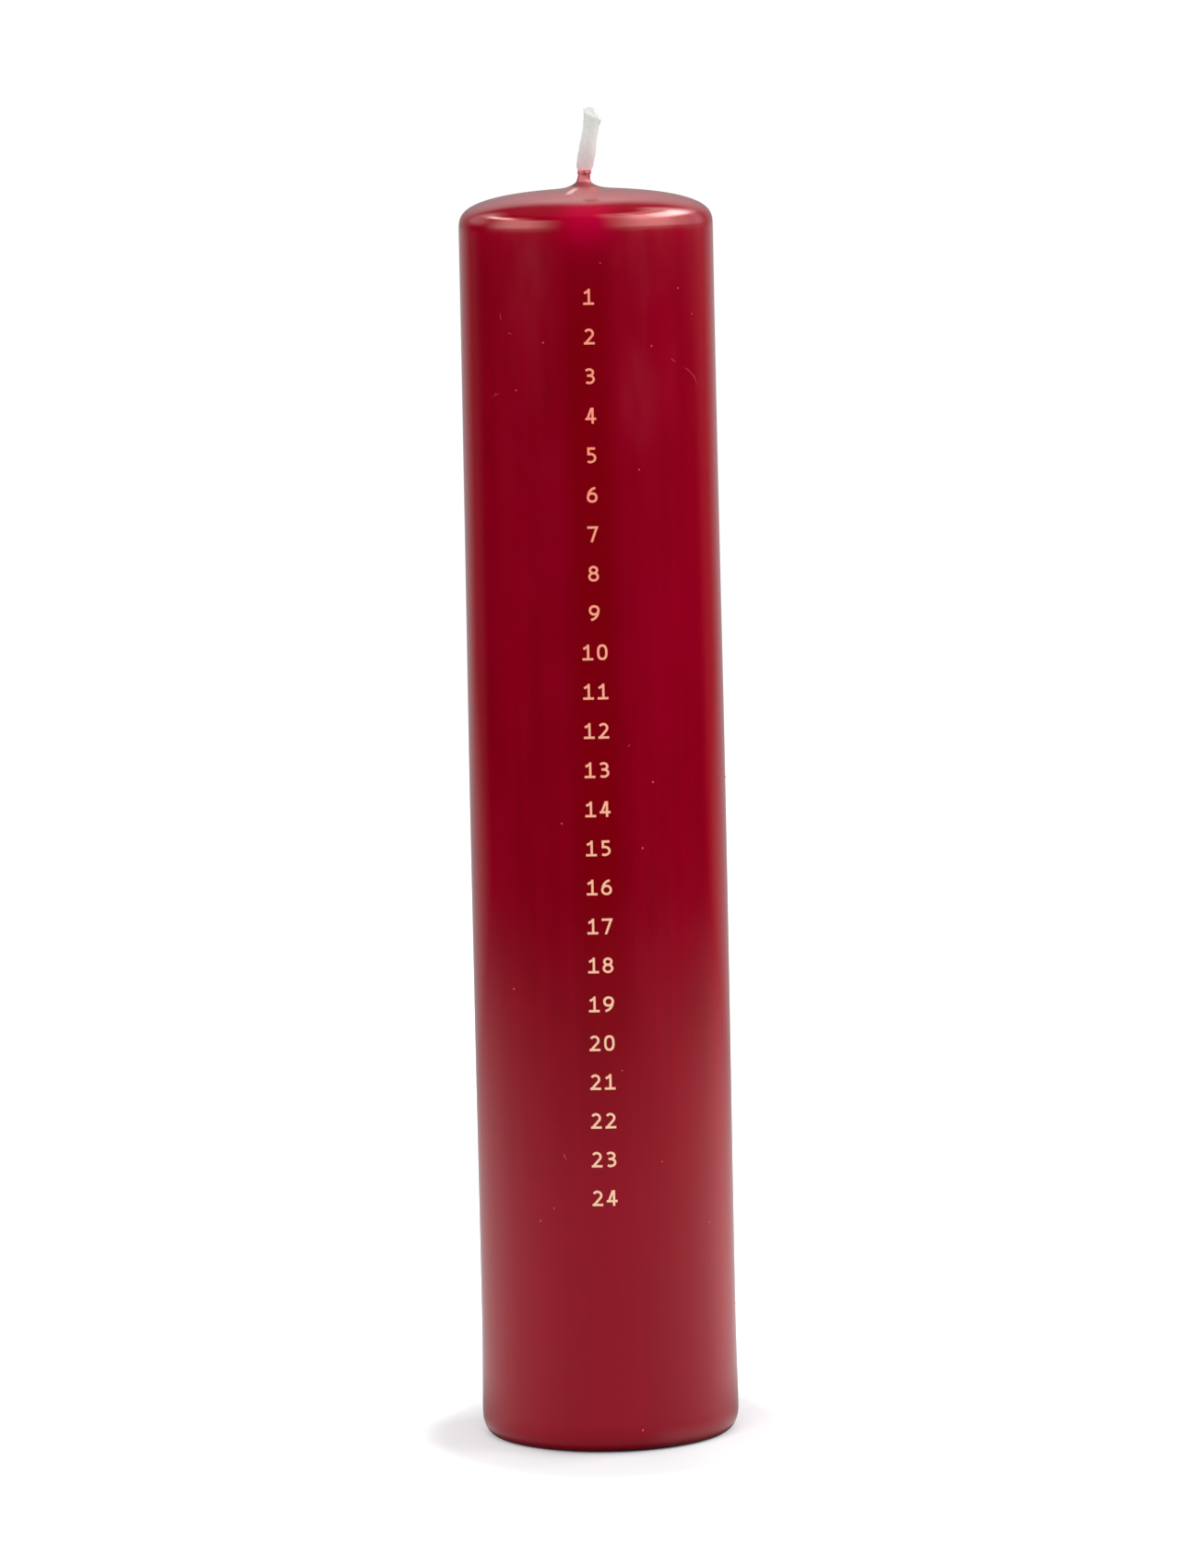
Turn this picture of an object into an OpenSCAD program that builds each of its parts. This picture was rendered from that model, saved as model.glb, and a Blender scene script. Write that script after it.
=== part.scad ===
// Calendar candle: a dipped pillar candle that burns down one numeral a day.
// Origin at the middle of the base, +Z up, the numerals face -Y. Millimetres.

/* [Wax body] */
// Height of the wax, from the table to the crown of the dome
wax_h = 241.7; // [180:0.1:320]
// Widest diameter of the candle, at the bulge just above the foot
foot_d = 50; // [40:0.5:80]
// How far the waist above the foot draws in, on the radius
waist_in = 0.2; // [0:0.05:0.8]
// Height of the waist above the table
waist_z = 24; // [15:1:40]
// How far the belly draws in, on the radius
belly_in = 0.15; // [0:0.05:0.8]
// Height of the belly above the table
belly_z = 100; // [60:1:140]
// How far the wall draws in at the foot of the shoulder, on the radius
shoulder_in = 0.55; // [0:0.05:1.5]

/* [Foot and shoulder] */
// Width of the rounding at the foot, along the table
foot_round_w = 2.7; // [1:0.1:5]
// Height of the rounding at the foot
foot_round_h = 4.3; // [2:0.1:8]
// Height of the rounded shoulder and dome together
shoulder_h = 8.3; // [5:0.1:14]
// How soon the dome falls away from its crown, a larger number keeps it flat for longer
dome_fall = 1.95; // [1.5:0.05:3]
// How tightly the shoulder turns into the wall, a larger number is tighter
shoulder_turn = 3.45; // [2:0.05:5]

/* [Dipped skin] */
// Thickness of the coloured skin over the pale core
skin_t = 1.2; // [0.6:0.1:3]
// Thickness of the wax that creeps up the wick
collar_t = 0.2; // [0.1:0.05:0.5]
// Height of that wax above the crown
collar_h = 3.3; // [2.8:0.1:6]
// Height of the cusp that flares from the collar into the dome
cusp_h = 1.5; // [0.5:0.1:1.8]
// Width of the cusp, from the collar outwards
cusp_w = 5.5; // [2:0.1:8]
// How far the bead on top of the collar stands out from it
bead_out = 0.18; // [0.05:0.01:0.4]
// Height of the bead
bead_h = 0.9; // [0.5:0.1:1]

/* [Wick] */
// Diameter of the wick inside the wax
wick_d = 2; // [1.2:0.1:4]
// How far the bare end fluffs out past the waxed wick, on the radius
wick_fluff = 0.52; // [0.2:0.02:0.8]
// Length above the collar over which it fluffs out
wick_fluff_l = 1.4; // [0.8:0.1:4]
// Further flare of the cut end, on the radius
wick_flare = 0.1; // [0:0.02:0.4]
// Length of the bare end above the collar
wick_free_l = 11.2; // [6:0.1:20]
// Sideways lean of the bare end at its tip
wick_lean = 1.65; // [0:0.05:4]
// Slope of the slanted cut, in degrees
wick_cut_slope = 34; // [0:1:45]
// Radial clearance round the waxed wick
wick_clearance = 0.02; // [0.01:0.01:0.1]

/* [Sustainer] */
// Diameter of the tinned disc that holds the wick's lower end
sustainer_d = 18; // [10:0.5:26]
// Thickness of its sheet
sustainer_t = 0.3; // [0.2:0.05:0.5]
// Height of its neck above the disc
sustainer_neck_h = 5; // [3:0.5:10]
// Depth of the recess in the base that holds it clear of the table
recess_h = 1; // [0.7:0.1:3]
// Clearance round the disc and its neck
sustainer_clearance = 0.2; // [0.1:0.05:0.5]

/* [Numerals] */
// Depth of the middle of the first numeral below the crown
first_drop = 20.3; // [16:0.1:30]
// Height of the middle of the last numeral above the table
last_h = 49.6; // [40:0.1:70]
// Height of a digit
digit_h = 3; // [2:0.1:4]
// Width of a digit
digit_w = 2.05; // [1.4:0.05:2.6]
// Width of a digit's stroke
digit_stroke = 0.44; // [0.25:0.01:0.5]
// Gap between the two digits of a number
digit_gap = 0.7; // [0.3:0.05:1.5]
// How far the stamped column drifts to the left from the first numeral to the last
column_drift = 0.5; // [0:0.05:1]
// Thickness of the foil
foil_t = 0.08; // [0.04:0.01:0.12]

/* [Hidden] */
days = 24;
foot_r = foot_d / 2;
top_r = foot_r - shoulder_in;
wall_top = wax_h - shoulder_h;
wick_r = wick_d / 2;
bore_r = wick_r + wick_clearance;
neck_r = bore_r + collar_t;
cusp_r = neck_r + cusp_w;
collar_top = wax_h + collar_h;
sustainer_r = sustainer_d / 2;
sustainer_neck_r = bore_r + sustainer_t;
sustainer_bottom = recess_h - sustainer_t;
recess_r = sustainer_r + sustainer_clearance;
pocket_r = sustainer_neck_r + sustainer_clearance;
pocket_top = recess_h + sustainer_neck_h + sustainer_clearance;
day_pitch = (wax_h - first_drop - last_h) / (days - 1);
digit_pitch = digit_w + digit_gap;

// Steps in each round stretch of an outline, and sides of the round pieces
foot_steps = 6;
wall_steps = 5;
shoulder_steps = 22;
cusp_steps = 8;
bead_steps = 6;
arc_steps = 12;
wick_sides = 16;
wick_rings = 12;
$fn = 96;

// The flare and the slanted cut gather towards the tip, more so with a larger power.
flare_power = 6;
cut_power = 10;

function numeral_name(day) = str("numeral_", day < 10 ? "0" : "", day);

red_wax = "#8c0a1c";
pale_wax = "#ead9c4";
cotton = "#f1efe9";
tinplate = "#b9bcc0";
gold_foil = "#f2b26b";

function mix(a, b, t) = a + (b - a) * t;
function ease(t) = (1 - cos(180 * t)) / 2;
function reverse(list) = [for (i = [len(list) - 1:-1:0]) list[i]];

// Outlines of the wax are lists of [radius, height], and grow moves them outwards.
// The rounding at the foot is a quarter of an ellipse.
function foot_points(grow) = [
    for (i = [0:foot_steps - 1])
        let (a = 90 * i / foot_steps)
        [foot_r - foot_round_w * (1 - sin(a)) + grow, foot_round_h * (1 - cos(a))]
];

// The wall runs smoothly from the bulge at the foot over the waist and the belly to the shoulder.
wall_knots = [
    [foot_r, foot_round_h],
    [foot_r - waist_in, waist_z],
    [foot_r - belly_in, belly_z],
    [top_r, wall_top]
];
function wall_points(grow) = [
    for (k = [0:len(wall_knots) - 2], i = [k == 0 ? 0 : 1:wall_steps])
        let (a = wall_knots[k], b = wall_knots[k + 1], t = i / wall_steps)
        [mix(a[0], b[0], ease(t)) + grow, mix(a[1], b[1], t)]
];

// The shoulder and dome are one flattened ellipse, from the wall's top to the crown.
function dome_z(r, grow) =
    wall_top + (shoulder_h + grow) * pow(1 - pow(r / (top_r + grow), dome_fall), 1 / shoulder_turn);
function dome_points(grow, stop_r) = [
    for (i = [1:shoulder_steps - 1])
        let (r = (top_r + grow) * cos(90 * i / shoulder_steps))
        if (r > stop_r) [r, dome_z(r, grow)]
];

// Outside of the pale core, which is also the inside of the skin.
core_outline = concat(
    foot_points(-skin_t),
    wall_points(-skin_t),
    dome_points(-skin_t, bore_r),
    [[bore_r, dome_z(bore_r, -skin_t)]]
);

// A concave cusp rises from the dome to the collar.
cusp_points = [
    for (i = [0:cusp_steps])
        let (t = i / cusp_steps, r = mix(cusp_r, neck_r, t))
        [r, dome_z(r, 0) + cusp_h * pow(t, 3)]
];

// The bead is a rounded lip where the wax ends on the wick.
bead_points = [
    for (i = [0:bead_steps])
        let (t = i / bead_steps)
        [neck_r + bead_out * sin(180 * t), collar_top - bead_h * (1 - t)]
];

skin_outline = concat(
    foot_points(0),
    wall_points(0),
    dome_points(0, cusp_r),
    cusp_points,
    bead_points,
    [[bore_r, collar_top]]
);

module wax_core() {
    color(pale_wax)
    rotate_extrude()
    polygon(concat(core_outline, [
        [bore_r, pocket_top],
        [pocket_r, pocket_top],
        [pocket_r, recess_h],
        [recess_r, recess_h],
        [recess_r, 0]
    ]));
}

module dipped_skin() {
    color(red_wax)
    rotate_extrude()
    polygon(concat(skin_outline, reverse(core_outline)));
}

// One wick runs from the sustainer to the free tip. Its bare end leans, fluffs out and is cut at a slant.
function wick_ring(i) =
    let (
        t = i / wick_rings,
        fluffed = ease(min(1, wick_free_l * t / wick_fluff_l)),
        r = mix(neck_r, wick_r + wick_fluff, fluffed) + wick_flare * pow(t, flare_power),
        x = wick_lean * ease(t),
        z = collar_top + wick_free_l * t,
        shear = tan(wick_cut_slope) * pow(t, cut_power)
    )
    [
        for (k = [0:wick_sides - 1])
            let (a = 360 * k / wick_sides)
            [x + r * cos(a), r * sin(a), z - shear * r * cos(a)]
    ];

module wick_free_end() {
    points = [for (i = [0:wick_rings]) each wick_ring(i)];
    last = wick_rings * wick_sides;
    polyhedron(points, concat(
        [for (k = [1:wick_sides - 2]) [0, k, k + 1]],
        [for (k = [1:wick_sides - 2]) [last, last + k + 1, last + k]],
        [
            for (i = [0:wick_rings - 1], k = [0:wick_sides - 1])
                let (n = (k + 1) % wick_sides, a = i * wick_sides, b = a + wick_sides)
                each [[a + k, b + k, b + n], [a + k, b + n, a + n]]
        ]
    ));
}

module wick() {
    overlap = wick_free_l / 10;
    color(cotton)
    union() {
        translate([0, 0, sustainer_bottom])
            cylinder(r = wick_r, h = collar_top + overlap - sustainer_bottom);
        wick_free_end();
    }
}

module wick_sustainer() {
    color(tinplate)
    rotate_extrude()
    polygon([
        [bore_r, sustainer_bottom],
        [sustainer_r, sustainer_bottom],
        [sustainer_r, recess_h],
        [sustainer_neck_r, recess_h],
        [sustainer_neck_r, recess_h + sustainer_neck_h],
        [bore_r, recess_h + sustainer_neck_h]
    ]);
}

// Places in a digit's cell run from 0 to 1 along the middles of its outer strokes,
// and the cell's outer edges lie at -pad_x, 1 + pad_x, -pad_y and 1 + pad_y.
pad_x = digit_stroke / 2 / (digit_w - digit_stroke);
pad_y = digit_stroke / 2 / (digit_h - digit_stroke);
function cell(x, y) = [
    (digit_w - digit_stroke) * (x - 0.5),
    (digit_h - digit_stroke) * (y - 0.5)
];
function arc(x, y, rx, ry, from, to) = [
    for (i = [0:arc_steps])
        let (a = mix(from, to, i / arc_steps))
        cell(x + rx * cos(a), y + ry * sin(a))
];

// One edge of a stroke that follows a path.
function edge(path, side) = [
    for (i = [0:len(path) - 1])
        let (
            along = path[min(i + 1, len(path) - 1)] - path[max(i - 1, 0)],
            across = [-along[1], along[0]] / norm(along)
        )
        path[i] + across * side * digit_stroke / 2
];
module stroke(path) {
    linear_extrude(height = foot_r + foil_t)
    polygon(concat(edge(path, 1), reverse(edge(path, -1))));
}
module bar(x1, y1, x2, y2) {
    stroke([cell(x1, y1), cell(x2, y2)]);
}

// A slanted bar with level ends.
module slant(x1, y1, x2, y2) {
    a = cell(x1, y1);
    b = cell(x2, y2);
    half = [digit_stroke / 2 * norm(b - a) / abs(b[1] - a[1]), 0];
    linear_extrude(height = foot_r + foil_t)
    polygon([a - half, a + half, b + half, b - half]);
}

// A closed ring round a middle. Its sides are straighter where square is under 1.
module ring(x, y, rx, ry, square = 1) {
    round_points = [
        for (i = [0:2 * arc_steps - 1])
            let (a = 180 * i / arc_steps)
            [sign(cos(a)) * pow(abs(cos(a)), square), sign(sin(a)) * pow(abs(sin(a)), square)]
    ];
    linear_extrude(height = foot_r + foil_t)
    difference() {
        polygon([for (p = round_points) cell(x + rx * p[0], y + ry * p[1]) + p * digit_stroke / 2]);
        polygon([for (p = round_points) cell(x + rx * p[0], y + ry * p[1]) - p * digit_stroke / 2]);
    }
}

module digit_six() {
    ring(0.5, 0.3, 0.5, 0.3, 0.92);
    stroke(arc(0.96, 0.34, 0.93, 0.66, 175, 94));
}
module digit(value) {
    if (value == 0) ring(0.5, 0.5, 0.48, 0.5, 0.8);
    if (value == 1) {
        bar(-pad_x, 0, 1 + pad_x, 0);
        bar(0.54, 0, 0.54, 1 + pad_y);
        bar(0.6, 0.98, 0, 0.76);
    }
    if (value == 2) {
        bar(-pad_x, 0, 1 + pad_x, 0);
        stroke(concat(arc(0.46, 0.71, 0.46, 0.29, 150, -32), [cell(0.06, 0)]));
    }
    if (value == 3) {
        stroke(arc(0.4, 0.77, 0.46, 0.23, 145, -90));
        stroke(arc(0.4, 0.27, 0.54, 0.27, 90, -130));
        bar(0.16, 0.54, 0.44, 0.54);
    }
    if (value == 4) {
        bar(-pad_x, 0.27, 1 + pad_x, 0.27);
        bar(0.72, -pad_y, 0.72, 1 + pad_y);
        slant(0.62, 1 + pad_y, 0.06, 0.27 - pad_y);
    }
    if (value == 5) {
        bar(0.1, 1, 0.94, 1);
        bar(0.16, 1 + pad_y, 0.16, 0.5);
        stroke(arc(0.38, 0.3, 0.56, 0.3, 114, -125));
    }
    if (value == 6) digit_six();
    if (value == 7) {
        bar(-pad_x, 1, 1 + pad_x, 1);
        slant(0.97, 1, 0.34, -pad_y);
    }
    if (value == 8) {
        ring(0.5, 0.77, 0.42, 0.23);
        ring(0.5, 0.27, 0.5, 0.27);
    }
    if (value == 9) rotate(180) digit_six();
}

// The foil lies on the wall as a thin sleeve, cut to the digits.
module foil_sleeve() {
    rotate_extrude()
    polygon(concat(wall_points(foil_t), reverse(wall_points(0))));
}
module numeral(day) {
    digits = day < 10 ? [day] : [floor(day / 10), day % 10];
    color(gold_foil)
    intersection() {
        foil_sleeve();
        translate([
            column_drift * (0.5 - (day - 1) / (days - 1)),
            0,
            wax_h - first_drop - day_pitch * (day - 1)
        ])
        rotate([90, 0, 0])
        for (i = [0:len(digits) - 1])
            translate([digit_pitch * (i - (len(digits) - 1) / 2), 0])
                digit(digits[i]);
    }
}

wax_core();
dipped_skin();
wick();
wick_sustainer();
for (day = [1:days])
    numeral(day);
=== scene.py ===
"""Looks of the calendar candle: dipped wax, a braided wick, a tinned disc and foil numerals."""

import math
import random

import bpy
from mathutils import Matrix, Vector, noise


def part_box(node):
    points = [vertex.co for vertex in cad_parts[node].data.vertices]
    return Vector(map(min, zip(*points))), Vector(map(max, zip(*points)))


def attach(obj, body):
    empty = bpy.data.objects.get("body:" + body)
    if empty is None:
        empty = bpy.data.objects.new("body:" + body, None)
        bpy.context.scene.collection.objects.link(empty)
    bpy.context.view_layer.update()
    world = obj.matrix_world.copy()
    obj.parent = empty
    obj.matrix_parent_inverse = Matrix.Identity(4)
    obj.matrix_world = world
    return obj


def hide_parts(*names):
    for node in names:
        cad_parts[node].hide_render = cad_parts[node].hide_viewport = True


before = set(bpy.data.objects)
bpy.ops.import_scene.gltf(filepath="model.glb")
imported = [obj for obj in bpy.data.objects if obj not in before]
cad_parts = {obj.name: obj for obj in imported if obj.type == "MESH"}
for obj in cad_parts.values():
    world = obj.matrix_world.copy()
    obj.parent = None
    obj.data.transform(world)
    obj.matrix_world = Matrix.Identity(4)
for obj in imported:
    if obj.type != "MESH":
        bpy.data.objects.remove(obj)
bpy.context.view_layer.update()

# Shapes are worked out in millimetres, and objects and lamps are in metres.
MM = 0.001

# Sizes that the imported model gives
skin_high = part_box("dipped_skin")[1] / MM
core_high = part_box("wax_core")[1] / MM
wick_low, wick_high = (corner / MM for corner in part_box("wick"))
disc_low, disc_high = (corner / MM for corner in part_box("wick_sustainer"))
FOOT_R = skin_high.x
SKIN_T = skin_high.x - core_high.x
COLLAR_TOP = skin_high.z
SUSTAINER_BOTTOM = disc_low.z
SUSTAINER_R = disc_high.x
SUSTAINER_TOP = disc_high.z
NUMERAL_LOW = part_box("numeral_24")[0].z / MM
NUMERAL_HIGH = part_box("numeral_01")[1].z / MM

# Sizes of the wax that no box gives, as in the construction
WAX_H = COLLAR_TOP - 3.3
SHOULDER_H = 8.3
WALL_TOP = WAX_H - SHOULDER_H
TOP_R = FOOT_R - 0.55
FOOT_ROUND_W = 2.7
FOOT_ROUND_H = 4.3
WALL_KNOTS = [(FOOT_R, FOOT_ROUND_H), (FOOT_R - 0.2, 24), (FOOT_R - 0.15, 100), (TOP_R, WALL_TOP)]
DOME_FALL = 1.95
SHOULDER_TURN = 3.45
CUSP_H = 1.5
CUSP_W = 5.5
BEAD_OUT = 0.18
BEAD_H = 0.9
WICK_R = 1.0
BORE_R = 1.02
NECK_R = 1.22
RECESS_H = 1.0
RECESS_R = SUSTAINER_R + 0.2
POCKET_R = 1.52
POCKET_TOP = SUSTAINER_TOP + 0.2

# The bare end of the wick
WICK_FLUFF = 0.52
WICK_FLUFF_L = 0.8
WICK_FLARE = 0.1
FLARE_POWER = 6
WICK_FREE_L = 11.2
WICK_LEAN = 1.65
CUT_SLOPE = math.radians(34)
CUT_POWER = 7
FRAY_L = 0.45
# The cut bares white cotton above a slanted line, given by its slope and its height over the axis.
BARE_SLOPE = math.tan(math.radians(24.5))
BARE_Z = 256.15
# A direction that no fibre runs along
ODD_WAY = Vector((0.31, 0.95, 0.07))


# Small helpers
def mix(a, b, t):
    return a + (b - a) * t


def ease(t):
    return (1 - math.cos(math.pi * t)) / 2


def fade(value, start, end):
    """From 0 at start to 1 at end, smoothly."""
    return ease(min(1, max(0, (value - start) / (end - start))))


def around(azimuth, radius, height):
    """A place round the axis. Azimuth 0 is the front, at -Y, and it grows towards +X."""
    return Vector((radius * math.sin(azimuth), -radius * math.cos(azimuth), height))


def make_object(name, points, faces, material, crease):
    """A mesh object on the root body, from points in millimetres, smooth up to crease degrees."""
    mesh = bpy.data.meshes.new(name)
    mesh.from_pydata([Vector(p) * MM for p in points], [], faces)
    mesh.polygons.foreach_set("use_smooth", [True] * len(mesh.polygons))
    mesh.set_sharp_from_angle(angle=math.radians(crease))
    mesh.materials.append(material)
    mesh.update()
    piece = bpy.data.objects.new(name, mesh)
    bpy.context.scene.collection.objects.link(piece)
    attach(piece, "root")
    return piece


def lathe(outline, sides, move):
    """A closed outline of (radius, height) turned round the axis. move shifts each point."""
    points = []
    for index, (radius, height) in enumerate(outline):
        for side in range(sides):
            azimuth = 2 * math.pi * side / sides
            points.append(around(azimuth, *move(azimuth, index, radius, height)))
    faces = []
    for index in range(len(outline)):
        ring, above = index * sides, (index + 1) % len(outline) * sides
        for side in range(sides):
            after = (side + 1) % sides
            faces.append((ring + side, ring + after, above + after, above + side))
    return points, faces


def loft(rings):
    """A closed tube through rings of equally many points, with a fan at each end."""
    sides = len(rings[0])
    points = [point for ring in rings for point in ring]
    faces = []
    for index in range(len(rings) - 1):
        low, high = index * sides, (index + 1) * sides
        for side in range(sides):
            after = (side + 1) % sides
            faces.append((low + side, low + after, high + after, high + side))
    last = (len(rings) - 1) * sides
    for ring, start in ((rings[0], 0), (rings[-1], last)):
        middle = len(points)
        points.append(sum(ring, Vector()) / sides)
        for side in range(sides):
            pair = (start + side, start + (side + 1) % sides)
            faces.append((middle, *pair) if start else (middle, *reversed(pair)))
    return points, faces


def sweep(path, sizes, sides, outward=None):
    """Rings along a path. Sizes are (across, thick) half widths, and outward turns the thin side."""
    rings = []
    for index, place in enumerate(path):
        along = (path[min(index + 1, len(path) - 1)] - path[max(index - 1, 0)]).normalized()
        hint = outward[index] if outward else ODD_WAY
        thin = (hint - along * hint.dot(along)).normalized()
        wide = along.cross(thin)
        across, thick = sizes[index]
        rings.append([
            place + thin * thick * math.cos(turn) + wide * across * math.sin(turn)
            for turn in (2 * math.pi * side / sides for side in range(sides))
        ])
    return rings


def join(parts):
    """Several (points, faces) as one."""
    points, faces = [], []
    for part_points, part_faces in parts:
        start = len(points)
        points.extend(part_points)
        faces.extend(tuple(start + index for index in face) for face in part_faces)
    return points, faces


# Shape of the wax
def wall_r(height):
    """Radius of the wall at a height."""
    for (low_r, low_z), (high_r, high_z) in zip(WALL_KNOTS, WALL_KNOTS[1:]):
        if height <= high_z:
            return mix(low_r, high_r, ease((height - low_z) / (high_z - low_z)))
    return TOP_R


def dome_z(radius, grow=0.0):
    """Height of the shoulder and dome at a radius."""
    flat = 1 - (radius / (TOP_R + grow)) ** DOME_FALL
    return WALL_TOP + (SHOULDER_H + grow) * max(0, flat) ** (1 / SHOULDER_TURN)


def body_outline(grow, stop_r, wall_step, shoulder_steps):
    """From the base over the foot, the wall and the dome, inwards to stop_r."""
    foot_steps = 12
    outline = []
    for step in range(foot_steps):
        turn = math.pi / 2 * step / foot_steps
        radius = FOOT_R - FOOT_ROUND_W * (1 - math.sin(turn)) + grow
        outline.append((radius, FOOT_ROUND_H * (1 - math.cos(turn))))
    wall_steps = round((WALL_TOP - FOOT_ROUND_H) / wall_step)
    for step in range(wall_steps + 1):
        height = mix(FOOT_ROUND_H, WALL_TOP, step / wall_steps)
        outline.append((wall_r(height) + grow, height))
    for step in range(1, shoulder_steps):
        radius = (TOP_R + grow) * math.cos(math.pi / 2 * step / shoulder_steps)
        if radius > stop_r:
            outline.append((radius, dome_z(radius, grow)))
    return outline


def skin_outside():
    """Outside of the dipped wax, up to the end of the collar on the wick."""
    cusp_steps = 14
    bead_steps = 10
    cusp_r = NECK_R + CUSP_W
    outline = body_outline(0, cusp_r, wall_step=1.6, shoulder_steps=64)
    for step in range(cusp_steps + 1):
        t = step / cusp_steps
        radius = mix(cusp_r, NECK_R, t)
        outline.append((radius, dome_z(radius) + CUSP_H * t ** 3))
    for step in range(bead_steps + 1):
        t = step / bead_steps
        outline.append((NECK_R + BEAD_OUT * math.sin(math.pi * t), COLLAR_TOP - BEAD_H * (1 - t)))
    outline.append((BORE_R, COLLAR_TOP))
    return outline


def core_outside():
    """Outside of the core, which is the inside of the dipped wax."""
    outline = body_outline(-SKIN_T, BORE_R, wall_step=6, shoulder_steps=40)
    outline.append((BORE_R, dome_z(BORE_R, -SKIN_T)))
    return outline


def skin_relief(azimuth, radius, height):
    """How far the wax lies inside its outline: slow swells and the runs that dipping leaves."""
    swell_depth, run_depth, wave_depth = 0.05, 0.025, 0.04
    swell_count, run_count = 1.4, 8
    swell_l, run_l, wave_l = 42, 70, 8
    side, front = math.sin(azimuth), -math.cos(azimuth)
    swell = noise.noise(Vector((swell_count * side, swell_count * front, height / swell_l)))
    run = noise.noise(Vector((run_count * side, run_count * front, height / run_l + 5)))
    depth = swell_depth * (0.5 + 0.5 * swell) + run_depth * (0.5 + 0.5 * run)

    # The strip under the numerals is smooth, so that they lie flush on it.
    beside = fade(abs(math.degrees(math.remainder(azimuth, 2 * math.pi))), 9, 20)
    above = fade(height, NUMERAL_HIGH + 2, NUMERAL_HIGH + 8)
    below = fade(height, NUMERAL_LOW - 2, NUMERAL_LOW - 8)
    depth *= max(beside, above, below) * fade(height, 0.3, 4)

    dome = fade(height, WAX_H - 5, WAX_H - 2) * fade(radius, 1.5, 4)
    wave = noise.noise(Vector((side * radius / wave_l, front * radius / wave_l, 11)))
    return depth * fade(radius, 2, 9) + wave_depth * (0.5 + 0.5 * wave) * dome


def collar_lumps(azimuth, radius, height):
    """The wax on the wick is uneven: a lump at its left, a slimmer right side and soft ripples."""
    lump_azimuth, lump_turn = math.radians(-95), 0.7
    lump_z, lump_h, lump_out = WAX_H + 1.65, 0.4, 0.34
    slim_left, slim_right, slim_in = 0.25, 0.6, 0.2
    ripple_count, ripple_rate, ripple_out = 1.3, 1.6, 0.05
    off = math.remainder(azimuth - lump_azimuth, 2 * math.pi)
    lump = math.exp(-(off / lump_turn) ** 2 - ((height - lump_z) / lump_h) ** 2)
    right = 0.5 + 0.5 * math.sin(azimuth)
    up = fade(radius, NECK_R + CUSP_W, NECK_R)
    slim = mix(slim_left, slim_right, right) * up * (radius - NECK_R)
    slim += (
        slim_in * right * fade(height, WAX_H + 0.3, WAX_H + 1)
        * fade(height, COLLAR_TOP - 0.5, COLLAR_TOP - 0.9)
    )
    side, front = ripple_count * math.sin(azimuth), ripple_count * math.cos(azimuth)
    ripple = noise.noise(Vector((side, front, height * ripple_rate)))
    return lump_out * lump + ripple_out * ripple * fade(height, WAX_H + 0.5, WAX_H + 1.4) - max(0, slim)


def build_skin(material):
    """The dipped wax over the core, with its relief on the outside only."""
    outside = skin_outside()
    outline = outside + core_outside()[::-1]
    first_cusp = max(index for index, (radius, _) in enumerate(outside) if radius >= NECK_R + CUSP_W)
    least_r = BORE_R + 0.05
    normals = []
    for index in range(len(outside)):
        before, after = outside[max(index - 1, 0)], outside[min(index + 1, len(outside) - 1)]
        along = Vector((after[0] - before[0], after[1] - before[1])).normalized()
        normals.append((along.y, -along.x))

    def move(azimuth, index, radius, height):
        if index >= len(outside) - 1:
            return radius, height
        depth = skin_relief(azimuth, radius, height)
        out = collar_lumps(azimuth, radius, height) if index > first_cusp else 0
        normal = normals[index]
        return max(least_r, radius - depth * normal[0] + out), height - depth * normal[1]

    points, faces = lathe(outline, sides=256, move=move)
    piece = make_object("skin_wax", points, faces, material, crease=60)
    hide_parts("dipped_skin")


def build_core(material):
    """The pale core, with the marks that trimming leaves under it."""
    base_steps = 26
    ring_pitch, ring_sway, ring_depth = 1.1, 0.6, 0.05
    rough_l, rough_depth = 2.5, 0.06
    outside = core_outside()
    foot_inner = outside[0][0]
    base = [(mix(RECESS_R, foot_inner, step / base_steps), 0) for step in range(base_steps)]
    outline = outside + [
        (BORE_R, POCKET_TOP),
        (POCKET_R, POCKET_TOP),
        (POCKET_R, RECESS_H),
        (RECESS_R, RECESS_H),
    ] + base
    first_base = len(outline) - base_steps

    def move(azimuth, index, radius, height):
        if index <= first_base:
            return radius, height
        sway = ring_sway * math.sin(azimuth)
        ring = 0.5 + 0.5 * math.cos(2 * math.pi * radius / ring_pitch + sway)
        rough = noise.noise(around(azimuth, radius / rough_l, 3))
        inner = fade(radius, RECESS_R, RECESS_R + 0.8) * fade(radius, foot_inner, foot_inner - 0.8)
        return radius, (ring_depth * ring + rough_depth * (0.5 + 0.5 * rough)) * inner

    points, faces = lathe(outline, sides=192, move=move)
    piece = make_object("core_wax_body", points, faces, material, crease=45)
    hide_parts("wax_core")


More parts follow.
